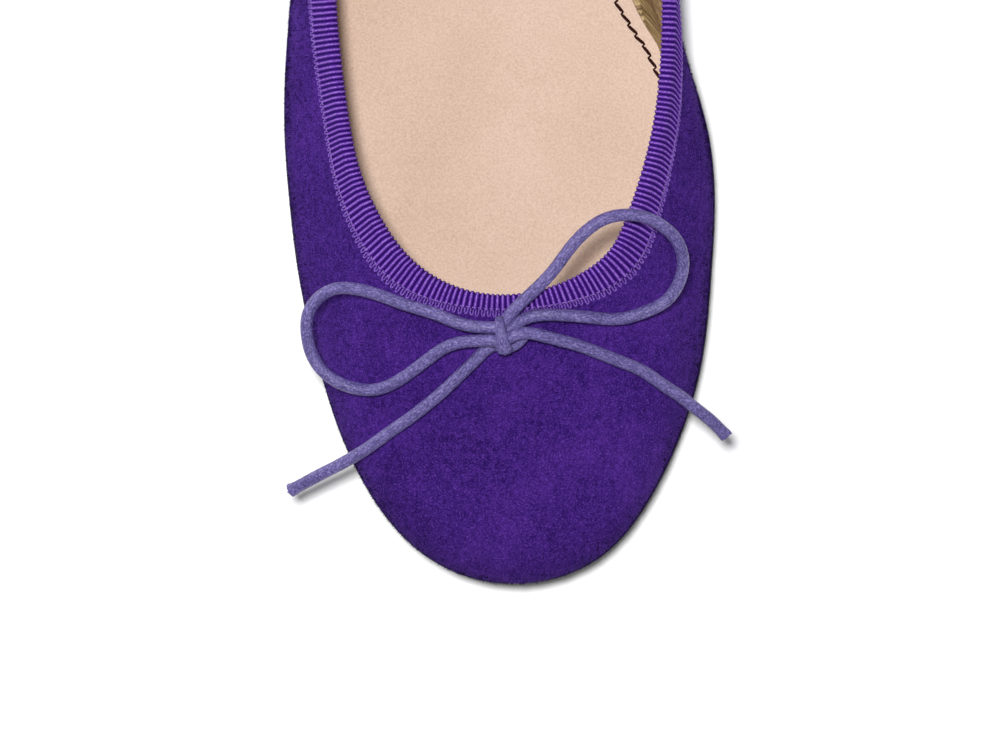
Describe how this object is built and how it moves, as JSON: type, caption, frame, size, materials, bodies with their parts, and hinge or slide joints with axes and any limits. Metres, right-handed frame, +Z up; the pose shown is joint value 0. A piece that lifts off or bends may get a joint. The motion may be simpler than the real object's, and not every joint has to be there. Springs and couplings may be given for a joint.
{
  "type": "ballet flat",
  "caption": "Low round-toe slip-on shoe for the right foot: suede shell, ribbed tape round the collar, thin sole with a low heel, leather footbed and a round cord bow at the throat.",
  "frame": {"origin": "middle of the shoe's outline at the floor, without the bow", "axes": "+Z up, +Y towards the heel, toe along -Y, +X the inner side of the right foot"},
  "size_m": [0.0861, 0.2458, 0.0622],
  "materials": {
    "sole": "fine-grained dark rubber",
    "heel": "fine-grained dark rubber",
    "suede": "suede nap, violet",
    "footbed": "matt fine-grained lining leather, pale beige pink",
    "binding": "ribbed grosgrain tape, violet",
    "cord": "waxed braided cord, greyish violet"
  },
  "bodies": {
    "root": {"outsole": "sole", "heel": "heel", "upper": "suede", "insole": "footbed", "topline_binding": "binding", "bow_knot": "cord", "bow_loop_lateral": "cord", "bow_loop_medial": "cord", "bow_end_lateral": "cord", "bow_end_medial": "cord"}
  },
  "joints": []
}
